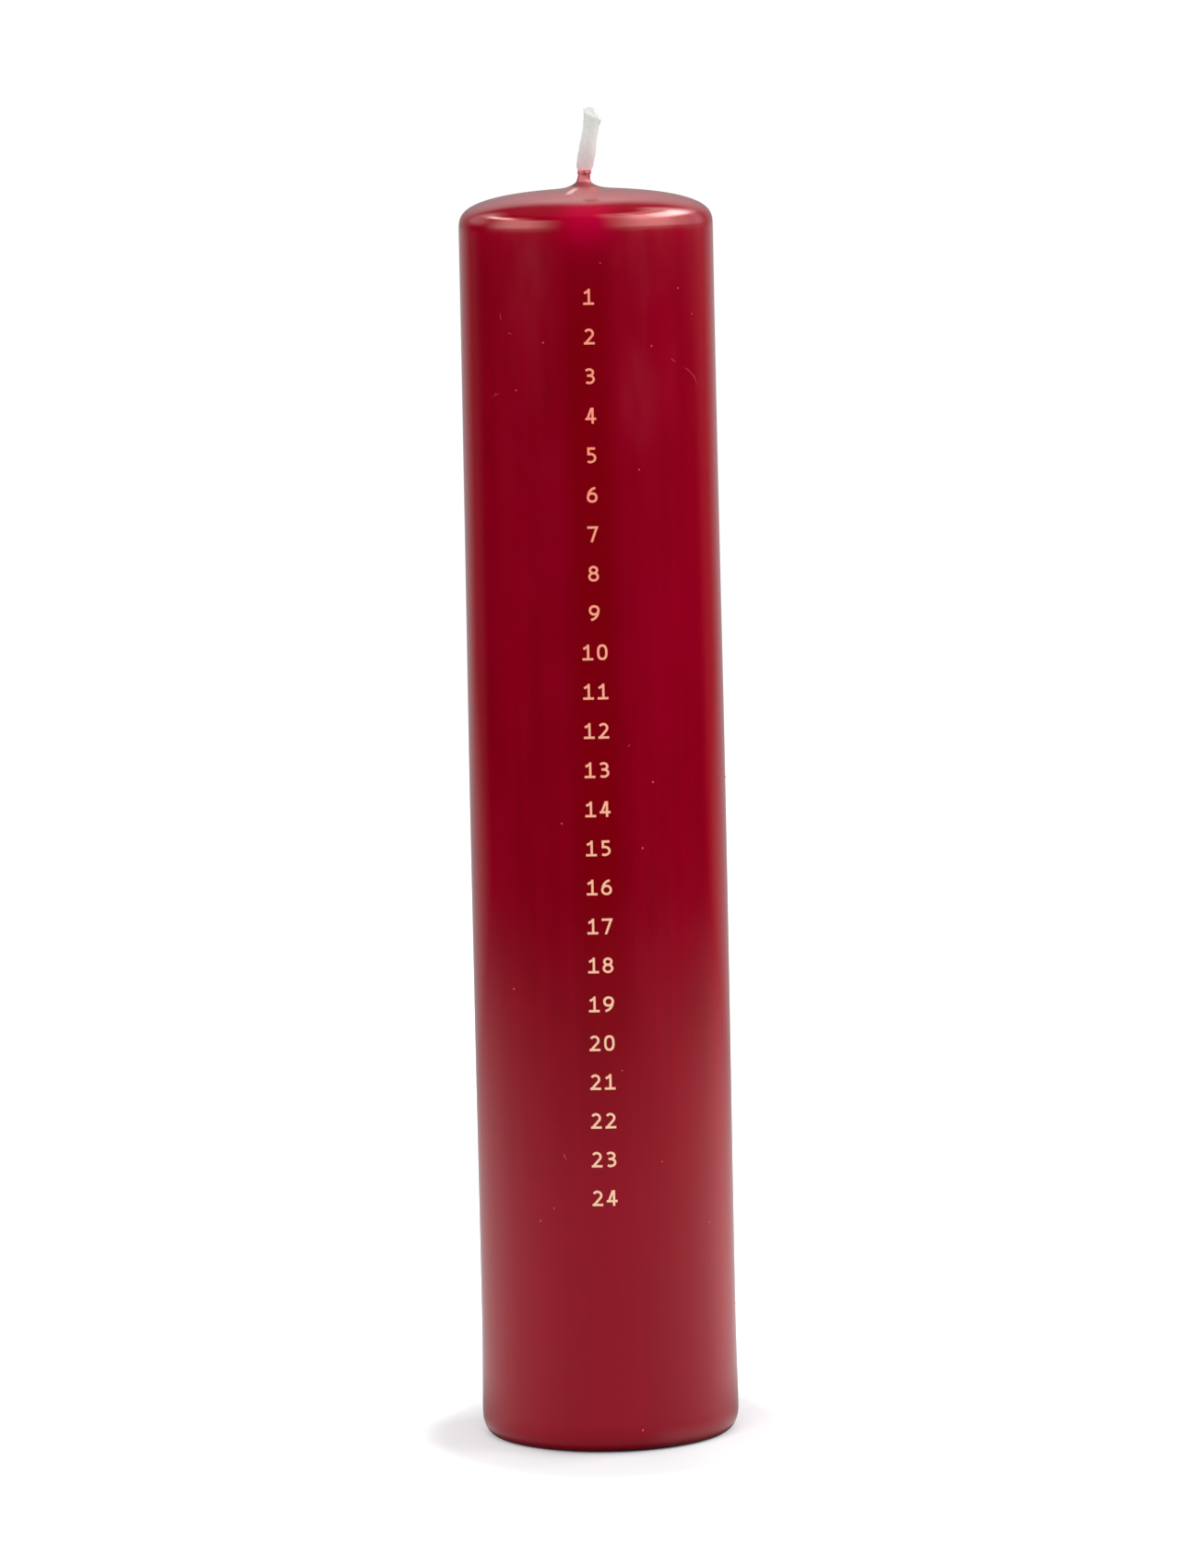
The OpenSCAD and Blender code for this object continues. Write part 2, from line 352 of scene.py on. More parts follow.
def build_sustainer(material):
    """A stamped disc with two beads and a crimped neck."""
    beads, bead_w, bead_steep, bead_drop = (4.2, 7.2), 0.7, 1.6, 0.14
    dent_count, dent_depth = 4, 0.14
    disc_steps, neck_steps = 60, 17
    neck_r = BORE_R + 0.3
    outline = []
    for step in range(disc_steps):
        radius = mix(BORE_R, SUSTAINER_R - 0.12, step / (disc_steps - 1))
        drop = sum(bead_drop * math.exp(-((radius - bead) / bead_w * bead_steep) ** 2) for bead in beads)
        outline.append((radius, SUSTAINER_BOTTOM - drop))
    outline += [
        (SUSTAINER_R - 0.03, SUSTAINER_BOTTOM + 0.05),
        (SUSTAINER_R, SUSTAINER_BOTTOM + 0.15),
        (SUSTAINER_R - 0.03, RECESS_H - 0.03),
        (SUSTAINER_R - 0.1, RECESS_H),
        (neck_r + 0.25, RECESS_H),
        (neck_r + 0.08, RECESS_H + 0.07),
        (neck_r, RECESS_H + 0.25),
    ]
    crimp_from = len(outline)
    for step in range(neck_steps):
        outline.append((neck_r, mix(RECESS_H + 0.5, SUSTAINER_TOP - 0.05, step / (neck_steps - 1))))
    crimp_to = len(outline)
    outline += [(neck_r - 0.06, SUSTAINER_TOP), (BORE_R, SUSTAINER_TOP)]

    def move(azimuth, index, radius, height):
        if crimp_from <= index < crimp_to:
            dent = max(0, math.cos(dent_count * azimuth)) ** 2 * fade(height, 2, 3.2)
            dent *= fade(height, 5.6, 4.6)
            return radius - dent_depth * dent, height
        return radius, height

    points, faces = lathe(outline, sides=96, move=move)
    piece = make_object("sustainer_sheet", points, faces, material, crease=40)
    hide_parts("wick_sustainer")


# The wick
def wick_middle(t):
    """Middle of the bare end, from the collar at 0 to the tip at 1."""
    return Vector((WICK_LEAN * ease(t), 0, COLLAR_TOP + WICK_FREE_L * t))


def wick_outer_r(t):
    """Radius of the bare end, which fluffs out above the collar and flares at the tip."""
    fluffed = ease(min(1, WICK_FREE_L * t / WICK_FLUFF_L))
    return mix(NECK_R + BEAD_OUT, WICK_R + WICK_FLUFF, fluffed) + WICK_FLARE * t ** FLARE_POWER


def cut_z(place, below=0.0):
    """Height of the slanted cut over a place, lowered by below."""
    return COLLAR_TOP + WICK_FREE_L - below - math.tan(CUT_SLOPE) * (place.x - WICK_LEAN)


def tuft_l(place):
    """How far the cut cotton stands above the braid's end, most of all right of the middle."""
    least_l, more_l, right_by, half_w = 0.42, 0.78, 0.55, 1.2
    return least_l + more_l * math.exp(-((place.x - WICK_LEAN - right_by) / half_w) ** 2)


def braid_relief(azimuth, run):
    """Height of a round braid, from about 0 in its grooves to 1 on its crowns, at a length along it."""
    strands, lay, weave = 6, 12.5, 0.8
    turns = azimuth / (2 * math.pi)
    right, left = strands * (turns + run / lay), strands * (turns - run / lay)
    crowns = []
    for across, along, first in ((right, left, 1), (left, right, -1)):
        nearest = round(across)
        over = first * (-1) ** nearest * math.cos(math.pi * along)
        crowns.append(1 - (2 * (across - nearest)) ** 2 + weave * over)
    return max(crowns) / (1 + weave)


def cord_rings():
    """Waxed cord of four strands, from the sustainer to just above the collar."""
    sides, ring_step, overlap = 28, 1.5, 0.6
    strands, lay, groove_depth = 4, 12, 0.06
    buried = round((COLLAR_TOP - wick_low.z) / ring_step)
    rings = []
    for index in range(buried + 1):
        height = mix(wick_low.z, COLLAR_TOP + overlap, index / buried)
        ring = []
        for side in range(sides):
            azimuth = 2 * math.pi * side / sides
            groove = 0.5 - 0.5 * math.cos(strands * azimuth + 2 * math.pi * height / lay)
            ring.append(around(azimuth, WICK_R - groove_depth * groove, height))
        rings.append(ring)
    return rings


def braid_rings():
    """The bare braid up to its slanted cut, which bulges at the right, low down and at the tip."""
    sides, steps = 110, 104
    relief, frayed_relief, bulge_out, flare_out = 0.07, 0.6, 0.33, 0.2
    rough_depth, frayed_depth, slow_depth = 0.02, 0.05, 0.05
    # Noise cells round the braid, and per millimetre along it
    rough_round, rough_along, slow_round, slow_along = 5, 2.5, 0.9, 0.4
    rings = []
    for index in range(steps + 1):
        t = index / steps
        run = WICK_FREE_L * t
        frayed = fade(run, WICK_FREE_L - 1.3, WICK_FREE_L)
        flared = fade(run, WICK_FREE_L - 2.6, WICK_FREE_L - 0.4)
        bulge = bulge_out * fade(run, -0.4, 2.4) * fade(run, 7.0, 3.4)
        middle = wick_middle(t)
        ring = []
        for side in range(sides):
            azimuth = 2 * math.pi * side / sides
            spoke = around(azimuth, 1, 0)
            depth = relief * (1 - braid_relief(azimuth, run)) * (1 - frayed_relief * frayed)
            rough = noise.noise(spoke * rough_round + Vector((0, 0, run * rough_along)))
            slow = noise.noise(spoke * slow_round + Vector((0, 0, run * slow_along)))
            radius = wick_outer_r(t) - depth + (rough_depth + frayed_depth * frayed) * rough
            radius += slow_depth * slow * fade(t, 0, 0.15)
            radius += (flare_out * flared + bulge) * max(0, spoke.x)
            place = middle + spoke * radius
            place.z -= math.tan(CUT_SLOPE) * t ** CUT_POWER * spoke.x * radius + FRAY_L * t
            ring.append(place)
        rings.append(ring)
    return rings


def tuft_rings(rim):
    """Cut cotton that rises from the braid's rim and closes over its middle."""
    steps, uneven_share, uneven_rate = 18, 0.3, 2.6
    centre = sum(rim, Vector()) / len(rim)
    rings = []
    for index in range(1, steps):
        turn = math.pi / 2 * index / steps
        ring = []
        for place in rim:
            inner = centre + (place - centre) * math.cos(turn)
            tussock = noise.noise(Vector((inner.x * uneven_rate, inner.y * uneven_rate, 9)))
            uneven = 1 + uneven_share * tussock
            steep = mix(0.9, 0.5, fade(place.x, centre.x, centre.x + 1.5))
            inner.z += tuft_l(inner) * uneven * math.sin(turn) ** steep
            inner.z = min(inner.z, wick_high.z - 0.1)
            ring.append(inner)
        rings.append(ring)
    return rings


def build_wick(material):
    """Waxed cord inside the candle, then a round braid that ends in a rough, slanted cut."""
    bare_end = braid_rings()
    bare_end += tuft_rings(bare_end[-1])
    points, faces = join([loft(cord_rings()), loft(bare_end)])
    piece = make_object("wick_braid", points, faces, material, crease=80)
    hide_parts("wick")


def fibre(start, along, length, thick, rng):
    """One cotton fibre that curls a little, thins out and stays below the wick's top."""
    steps, sides = 5, 5
    curl, end_thick = 0.35, 0.35
    bend = Vector((rng.uniform(-1, 1), rng.uniform(-1, 1), rng.uniform(-0.3, 0.3))) * curl
    path = []
    for step in range(steps + 1):
        t = step / steps
        place = start + (along + bend * t).normalized() * length * t
        place.z = min(place.z, wick_high.z - 0.02 * (steps - step))
        path.append(place)
    sizes = [(mix(thick, thick * end_thick, step / steps),) * 2 for step in range(steps + 1)]
    return loft(sweep(path, sizes, sides))


def build_fray(material):
    """Loose fibres at the cut end and a light fuzz along the braid."""
    tip_count, tip_inset, tip_sunk, tip_spread = 300, 0.08, 0.2, 0.9
    fuzz_count, fuzz_inset, fuzz_thick = 80, 0.12, 0.018
    rng = random.Random(24)
    parts = []
    for _ in range(tip_count):
        azimuth = rng.uniform(0, 2 * math.pi)
        share = math.sqrt(rng.random())
        spoke = around(azimuth, 1, 0)
        start = wick_middle(1) + spoke * share * (wick_outer_r(1) - tip_inset)
        start.z = cut_z(start, FRAY_L) + tuft_l(start) * (1 - share ** 4) - tip_sunk
        along = Vector((0.1, 0, 1)) + spoke * share ** 2 * tip_spread
        along += Vector((rng.gauss(0, 0.2), rng.gauss(0, 0.2), 0))
        length = rng.uniform(0.25, 0.42)
        parts.append(fibre(start, along.normalized(), length, rng.uniform(0.03, 0.05), rng))
    for _ in range(fuzz_count):
        t = rng.uniform(0.08, 0.93)
        azimuth = rng.uniform(0, 2 * math.pi)
        spoke = around(azimuth, 1, 0)
        start = wick_middle(t) + spoke * (wick_outer_r(t) - fuzz_inset)
        along = spoke * rng.uniform(0.1, 0.3)
        along += Vector((rng.gauss(0, 0.4), rng.gauss(0, 0.4), rng.uniform(-0.3, 1)))
        parts.append(fibre(start, along.normalized(), rng.uniform(0.3, 0.55), fuzz_thick, rng))
    points, faces = join(parts)
    make_object("wick_fray", points, faces, material, crease=80)


# Small marks on the wall: specks as (azimuth in degrees, height, size), and scratches as half width and path
SPECKS = [
    (-20.3, 212.9, 0.24), (29.3, 211.8, 0.19), (21.9, 188.5, 0.22), (54.1, 217.5, 0.18),
    (-34.4, 203.9, 0.22), (-46.8, 203.2, 0.16), (25.2, 129.0, 0.24), (-16.3, 121.6, 0.24),
    (19.6, 116.5, 0.2), (14.0, 4.3, 0.2), (-42.6, 89.4, 0.24), (-74.1, 60.2, 0.2),
    (-62.3, 47.4, 0.18), (-30.8, 44.9, 0.2), (52.7, 42.9, 0.18), (44.8, 222.5, 0.18),
    (6.1, 227.7, 0.16), (8.2, 74.1, 0.16), (25.9, 56.0, 0.18), (-23.8, 47.5, 0.17),
]
SCRATCHES = [
    (0.055, [(39.7, 209.2), (41.2, 208.9), (42.4, 208.5)]),
    (0.055, [(47.8, 207.4), (50.1, 207.0), (52.4, 206.4), (55.0, 205.5), (57.2, 204.0)]),
    (0.055, [(-38.7, 214.7), (-37.4, 214.7), (-36.1, 214.5)]),
    (0.05, [(-42.7, 218.4), (-42.6, 217.8), (-42.2, 217.2)]),
    (0.05, [(13.6, 136.0), (14.4, 136.2), (15.2, 136.5)]),
    (0.09, [(-18.9, 58.2), (-18.3, 57.7), (-17.5, 56.9)]),
    (0.06, [(-49.5, 202.6), (-47.5, 202.8), (-45.5, 203.1), (-44.2, 203.3)]),
]


def on_wall(azimuth_degrees, height, above):
    """A place so far above the wall."""
    return around(math.radians(azimuth_degrees), wall_r(max(FOOT_ROUND_H, height)) + above, height)


def build_specks(material):
    """Crumbs of wax: the few that the front shows, and more of their kind all round."""
    more, levels, sides = 26, 4, 10
    sunk, crumb_out, lumpy = 0.1, 0.2, 0.18
    rng = random.Random(7)
    specks = list(SPECKS)
    for _ in range(more):
        azimuth = rng.uniform(70, 290)
        specks.append((azimuth, rng.uniform(12, 228), rng.uniform(0.15, 0.3)))
    parts = []
    for azimuth, height, size in specks:
        centre = on_wall(azimuth, height, -sunk)
        out = around(math.radians(azimuth), 1, 0)
        side = out.cross(Vector((0, 0, 1)))
        stretch = rng.uniform(0.8, 1.5)
        rings = []
        for level in range(levels):
            turn = math.pi / 2 * level / levels
            middle = centre + out * (crumb_out * math.sin(turn))
            ring = []
            for step in range(sides):
                a = -2 * math.pi * step / sides
                rim = (side * math.cos(a) - Vector((0, 0, stretch * math.sin(a)))) * size * math.cos(turn)
                lump = 1 + lumpy * noise.noise(Vector((math.cos(a), math.sin(a), azimuth)))
                ring.append(middle + rim * lump)
            rings.append(ring)
        parts.append(loft(rings))
    points, faces = join(parts)
    make_object("skin_specks", points, faces, material, crease=80)


def build_scratches(material):
    """Raised edges of hairline scratches, which thin out at both ends."""
    sides, sunk, half_t, end_size = 8, 0.02, 0.05, (0.02, 0.02)
    parts = []
    for half_w, scratch in SCRATCHES:
        path = [on_wall(azimuth, height, -sunk) for azimuth, height in scratch]
        outward = [around(math.radians(azimuth), 1, 0) for azimuth, _ in scratch]
        sizes = [(half_w, half_t) for _ in scratch]
        sizes[0] = sizes[-1] = end_size
        parts.append(loft(sweep(path, sizes, sides, outward)))
    points, faces = join(parts)
    make_object("skin_scratches", points, faces, material, crease=80)


# Materials
class Nodes:
    """Short calls that add nodes to a material or world and link them."""

    def __init__(self, owner):
        owner.use_nodes = True
        self.tree = owner.node_tree
        self.tree.nodes.clear()

    def add(self, kind, inputs=None, output=0, **settings):
        node = self.tree.nodes.new("ShaderNode" + kind)
        for key, value in settings.items():
            setattr(node, key, value)
        for key, value in (inputs or {}).items():
            if isinstance(value, bpy.types.NodeSocket):
                self.tree.links.new(value, node.inputs[key])
            else:
                node.inputs[key].default_value = value
        return node.outputs[output] if node.outputs else None

    def math(self, operation, first, second=0.0, third=0.0):
        return self.add("Math", {0: first, 1: second, 2: third}, operation=operation)

    def product(self, *values):
        result = values[0]
        for value in values[1:]:
            result = self.math("MULTIPLY", result, value)
        return result

    def beside(self, value):
        """How far a value is from 0, on either side."""
        return self.math("ABSOLUTE", value)

    def square_sum(self, first, second):
        return self.math("ADD", self.product(first, first), self.product(second, second))

    def length(self, first, second):
        return self.math("SQRT", self.square_sum(first, second))

    def azimuth(self, x, y):
        """Degrees round the axis, from 0 at -Y, growing towards +X."""
        return self.math("DEGREES", self.math("ARCTAN2", x, self.product(y, -1.0)))

    def fade(self, value, start, end, low=0.0, high=1.0):
        """Low before start and high after end, smoothly."""
        inputs = {"Value": value, "From Min": start, "From Max": end, "To Min": low, "To Max": high}
        return self.add("MapRange", inputs, interpolation_type="SMOOTHSTEP")

    def blend(self, share, first, second):
        """A colour from first to second."""
        inputs = {"Factor": share, 6: first, 7: second}
        return self.add("Mix", inputs, output=2, data_type="RGBA")

    def mix(self, share, first, second):
        """A number from first to second."""
        return self.add("Mix", {0: share, 2: first, 3: second}, data_type="FLOAT")

    def place(self):
        """The place on the piece, in millimetres."""
        at = self.add("TexCoord", output=3)
        return self.add("VectorMath", {0: at, "Scale": 1 / MM}, operation="SCALE")

    def split(self, vector):
        node = self.tree.nodes.new("ShaderNodeSeparateXYZ")
        self.tree.links.new(vector, node.inputs[0])
        return node.outputs

    def noise(self, place, size, detail=2.0, roughness=0.5):
        """Noise whose cells have the given (x, y, z) size in millimetres."""
        inputs = {0: place, 1: tuple(1 / length for length in size)}
        scaled = self.add("VectorMath", inputs, operation="MULTIPLY")
        inputs = {"Vector": scaled, "Scale": 1.0, "Detail": detail, "Roughness": roughness}
        return self.add("TexNoise", inputs)

    def bump(self, height, strength, depth):
        """Bump of a depth in metres."""
        return self.add("Bump", {"Strength": strength, "Distance": depth, "Height": height})

    def surface(self, shader):
        self.add("OutputMaterial", {"Surface": shader})

    def principled(self, settings):
        self.surface(self.add("BsdfPrincipled", settings))


def colour(red, green, blue):
    """An sRGB colour from 0 to 255 as a linear one."""
    straight_part = 10
    linear = [
        c / 255 / 12.92 if c <= straight_part else ((c / 255 + 0.055) / 1.055) ** 2.4
        for c in (red, green, blue)
    ]
    return (*linear, 1.0)


# Colours of the red wax
DEEP_WAX = colour(124, 0, 21)
WARM_WAX = colour(133, 0, 27)
STREAK_WAX = colour(146, 1, 30)
TABLE_LIT_WAX = colour(142, 0, 31)
LOWER_RIGHT_WAX = colour(124, 0, 24)
FRONT_SHADE_WAX = colour(118, 0, 5)
BLOOM_AND_REFLECTION_WAX = colour(170, 70, 84)
LIT_FLANK_WAX = colour(149, 3, 27)
FOOT_REFLECTION_WAX = colour(156, 72, 80)
CONTACT_SHADOW_WAX = colour(58, 0, 8)
LIT_SHOULDER_WAX = colour(146, 0, 30)
LIT_DOME_WAX = colour(172, 8, 34)
SHOULDER_GLOW_WAX = colour(178, 0, 50)
PALE_REFLECTION_WAX = colour(169, 97, 95)
GLINT_WAX = colour(250, 205, 205)
SHADED_CUSP_WAX = colour(132, 52, 56)
SHADED_CUSP_SIDE_WAX = colour(100, 40, 44)
GLOWING_WAX = colour(206, 112, 116)
BLOTCH_WAX = colour(150, 50, 60)
SPOT_WAX = colour(146, 40, 52)
SHADED_COLLAR_SIDE_WAX = colour(96, 44, 50)
SHADED_COLLAR_RIGHT_WAX = colour(132, 48, 56)

# Cloudy bloom on the wall, which at the front also stands in for painted reflections of the soft boxes:
# azimuth and height of the middle, half width in degrees, half height, strength
BLOOM_AND_REFLECTION = [
    (-24, 238, 13, 20, 0.4),
    (23, 202, 11, 13, 0.45),
    (24, 96, 14, 30, 0.2),
    (150, 190, 26, 40, 0.4),
    (-130, 120, 30, 50, 0.3),
]

# Denser spots in the thin wax on the wick, and the square of their radius
COLLAR_SPOTS = [(0.7, COLLAR_TOP - 1.45), (0.0, COLLAR_TOP - 0.7)]
SPOT_R_SQUARE = 0.36

# A painted glint before the wick: slope and offset of its line, middle along Y
GLINT_SLOPE = -0.165
GLINT_OFFSET = 0.85
GLINT_Y = 9.5

# Roughness of the wall, from and to, then just before the wick and round it
WALL_ROUGH = (0.07, 0.11)
BEFORE_WICK_ROUGH = 0.38
ROUND_WICK_ROUGH = 0.55


def wall_colour(n, place, azimuth, cloud):
    """The wall's mottled red and clouds, with painted light, painted reflections and painted shade on it."""
    x, y, z = n.split(place)
    mottle = n.noise(place, (14, 14, 30), detail=3)
    streak = n.noise(place, (2.4, 2.4, 90), detail=2)
    base = n.blend(n.fade(mottle, 0.3, 0.7), DEEP_WAX, WARM_WAX)
    base = n.blend(n.fade(streak, 0.35, 0.75, 0.0, 0.3), base, STREAK_WAX)
    # Painted light: the lower wall is lighter, as lit from the table, and deeper again at the lower right.
    base = n.blend(n.fade(z, 95, 30, 0.0, 0.6), base, TABLE_LIT_WAX)
    lower_right = n.product(n.fade(azimuth, 4, 28, 0.0, 0.5), n.fade(z, 62, 28), n.fade(azimuth, 150, 110))
    base = n.blend(lower_right, base, LOWER_RIGHT_WAX)

    # Painted shade: a slightly deeper band down the front by the numerals, where the wax shows no
    # reflection.
    front_shade = n.product(
        n.fade(n.beside(x), 6.5, 2.0),
        n.fade(y, 0.0, -5.0),
        n.fade(z, WAX_H - 6, WAX_H - 26),
        n.fade(z, NUMERAL_LOW, NUMERAL_LOW + 70, 0.1, 1.0),
        0.65,
    )
    base = n.blend(front_shade, base, FRONT_SHADE_WAX)

    # Cloudy bloom, which at the front also stands in for painted reflections of the soft boxes.
    bloom_and_reflection = 0.0
    for middle, height, half_w, half_h, strength in BLOOM_AND_REFLECTION:
        across = n.math("DIVIDE", n.math("SUBTRACT", azimuth, float(middle)), float(half_w))
        up = n.math("DIVIDE", n.math("SUBTRACT", z, float(height)), float(half_h))
        bloom_and_reflection = n.math("MAXIMUM", n.fade(n.square_sum(across, up), 1.0, 0.0, 0.0, strength), bloom_and_reflection)
    bloom_and_reflection = n.product(bloom_and_reflection, n.fade(cloud, 0.25, 0.75, 0.35, 1.0), 0.15)
    base = n.blend(bloom_and_reflection, base, BLOOM_AND_REFLECTION_WAX)

    # Painted light: the flanks are lighter, as lit from the sides.
    lit_flank = n.math("MAXIMUM", n.fade(azimuth, 50, 66), n.fade(azimuth, -56, -70, 0.0, 0.8))
    lit_flank = n.product(lit_flank, n.fade(n.beside(azimuth), 130, 95), n.fade(z, 6, 26, 0.2, 1.0))
    base = n.blend(lit_flank, base, LIT_FLANK_WAX)

    # Painted reflection: the rounding of the foot is paler at the right, where it mirrors the table. Painted
    # shadow: its edge on the table is deeper.
    foot_reflection = n.product(n.fade(azimuth, 12, 34), n.fade(azimuth, 84, 62), n.fade(z, 5.0, 2.6), 0.32)
    base = n.blend(foot_reflection, base, FOOT_REFLECTION_WAX)
    edge = n.product(n.fade(z, 0.7, 0.2), n.fade(azimuth, -30, 25, 0.15, 1.0), 0.85)
    return n.blend(edge, base, CONTACT_SHADOW_WAX)


def top_colour(n, base, place, near_wick):
    """The shoulder and dome, painted lighter towards the top, with a painted glow, painted reflections and
    painted shade, and the thin wax that climbs the wick.
    """
    x, y, z = n.split(place)
    # Painted light: the shoulder and dome are lighter towards the top.
    base = n.blend(n.fade(z, WAX_H - 16, WAX_H - 5, 0.0, 0.9), base, LIT_SHOULDER_WAX)
    base = n.blend(n.fade(z, WAX_H - 3.0, WAX_H - 1.0, 0.0, 0.8), base, LIT_DOME_WAX)

    # Painted light: a brighter, pinker patch at the front of the shoulder, where light glows through the
    # wax.
    beside = n.beside(x)
    patch = n.product(
        n.fade(beside, 7.5, 1.0),
        n.fade(y, 0.0, -8.0),
        n.fade(z, WAX_H - 13, WAX_H - 5),
        n.fade(z, WAX_H - 2.4, WAX_H - 3.6),
        0.9,
    )
    base = n.blend(patch, base, SHOULDER_GLOW_WAX)

    # Painted reflection: a paler patch before the wick's foot, with a painted glint on it.
    pale = n.product(
        n.fade(beside, 3.4, 0.8),
        n.fade(near_wick, 22.0, 17.0),
        n.fade(y, 0.0, -1.5),
        n.fade(z, WAX_H - 2.6, WAX_H - 1.6),
        0.9,
    )
    base = n.blend(pale, base, PALE_REFLECTION_WAX)
    off_line = n.beside(n.math("ADD", n.math("MULTIPLY_ADD", y, GLINT_SLOPE, x), GLINT_OFFSET))
    glint = n.product(
        n.fade(off_line, 0.9, 0.2),
        n.fade(n.beside(n.math("ADD", y, GLINT_Y)), 6.0, 3.0),
        n.fade(z, WAX_H - 2, WAX_H - 1.5),
        0.8,
    )
    base = n.blend(glint, base, GLINT_WAX)
    # Painted shade: the cusp round the wick is duller, and darker at its sides.
    shaded_cusp = n.product(n.fade(near_wick, 6.5, 4.0), n.fade(z, WAX_H - 0.1, WAX_H + 0.25), 0.95)
    base = n.blend(shaded_cusp, base, n.blend(n.fade(beside, 0.7, 2.0), SHADED_CUSP_WAX, SHADED_CUSP_SIDE_WAX))

    # Over the white wick the thinnest wax glows pink.
    blotch = n.noise(place, (0.7, 0.7, 0.6), detail=1)
    glow = n.blend(n.fade(blotch, 0.55, 0.7, 0.0, 0.7), GLOWING_WAX, BLOTCH_WAX)
    for spot_x, spot_z in COLLAR_SPOTS:
        square = n.square_sum(n.math("SUBTRACT", x, spot_x), n.math("SUBTRACT", z, spot_z))
        spot = n.product(n.fade(square, SPOT_R_SQUARE, 0.0), n.fade(blotch, 0.35, 0.6, 0.6, 0.85))
        glow = n.blend(spot, glow, SPOT_WAX)
    # Painted shade: the collar is darker at its sides and at its lower right.
    glow = n.blend(n.fade(beside, 0.95, 1.25, 0.0, 0.8), glow, SHADED_COLLAR_SIDE_WAX)
    shaded_right_edge = n.product(n.fade(x, 0.5, 0.9, 0.0, 0.6), n.fade(z, WAX_H + 1.1, WAX_H + 1.5))
    glow = n.blend(shaded_right_edge, glow, SHADED_COLLAR_RIGHT_WAX)
    thin = n.product(n.fade(near_wick, 2.2, 1.6), n.fade(z, WAX_H + 0.95, WAX_H + 1.25), 0.95)
    return n.blend(thin, base, glow)


def wax_roughness(n, place, cloud, near_wick):
    """Glossy all over, and duller before the wick and round it."""
    x, y, z = n.split(place)
    before_wick = n.product(
        n.fade(n.beside(x), 4.0, 1.5),
        n.fade(y, 1.0, -1.0),
        n.fade(near_wick, 22.0, 16.0),
        n.fade(z, WAX_H - 3, WAX_H - 2),
    )
    rough = n.mix(before_wick, n.fade(cloud, 0.3, 0.7, *WALL_ROUGH), BEFORE_WICK_ROUGH)
    round_wick = n.product(n.fade(near_wick, 3.8, 2.4), n.fade(z, WAX_H - 0.2, WAX_H + 0.4))
    return n.mix(round_wick, rough, ROUND_WICK_ROUGH)


def red_wax_material():
    """Dipped wax, a little translucent, with a fine grain and ripples."""
    material = bpy.data.materials.new("dipped_red_wax")
    n = Nodes(material)
    place = n.place()
    x, y, _ = n.split(place)
    near_wick = n.length(x, y)
    cloud = n.noise(place, (5, 5, 16), detail=4, roughness=0.6)
    grain = n.noise(place, (0.5, 0.5, 0.8), detail=3)
    ripple = n.noise(place, (3.5, 3.5, 12), detail=1)
    height = n.math("ADD", n.product(grain, 0.02), n.product(ripple, 0.12))
    wall = wall_colour(n, place, n.azimuth(x, y), cloud)
    n.principled({
        "Base Color": top_colour(n, wall, place, near_wick),
        "Roughness": wax_roughness(n, place, cloud, near_wick),
        "IOR": 1.44,
        "Subsurface Weight": 0.35,
        "Subsurface Radius": (1.0, 0.15, 0.18),
        "Subsurface Scale": 0.0018,
        "Specular IOR Level": 1.0,
        "Specular Tint": (1.0, 0.55, 0.5, 1.0),
        "Normal": n.bump(height, 0.12, 0.001),
    })
    return material


def core_wax_material():
    """Pale pressed wax, stained red next to the skin."""
    stain_from, stain_to = FOOT_R - 5.5, FOOT_R - 3.6
    material = bpy.data.materials.new("pale_core_wax")
    n = Nodes(material)
    place = n.place()
    x, y, _ = n.split(place)
    cloud = n.noise(place, (4, 4, 4), detail=4, roughness=0.6)
    crystals = n.add("TexVoronoi", {"Vector": place, "Scale": 0.9}, feature="F1")
    base = n.blend(cloud, colour(226, 205, 178), colour(240, 226, 206))
    base = n.blend(n.fade(crystals, 0.1, 0.8, 0.0, 0.25), base, colour(206, 178, 148))
    base = n.blend(n.fade(n.length(x, y), stain_from, stain_to, 0.0, 0.7), base, colour(200, 92, 92))
    n.principled({
        "Base Color": base,
        "Roughness": n.fade(crystals, 0.0, 1.0, 0.42, 0.6),
        "Subsurface Weight": 0.4,
        "Subsurface Radius": (1.0, 0.7, 0.45),
        "Subsurface Scale": 0.002,
        "Normal": n.bump(cloud, 0.25, 0.0004),
    })
    return material


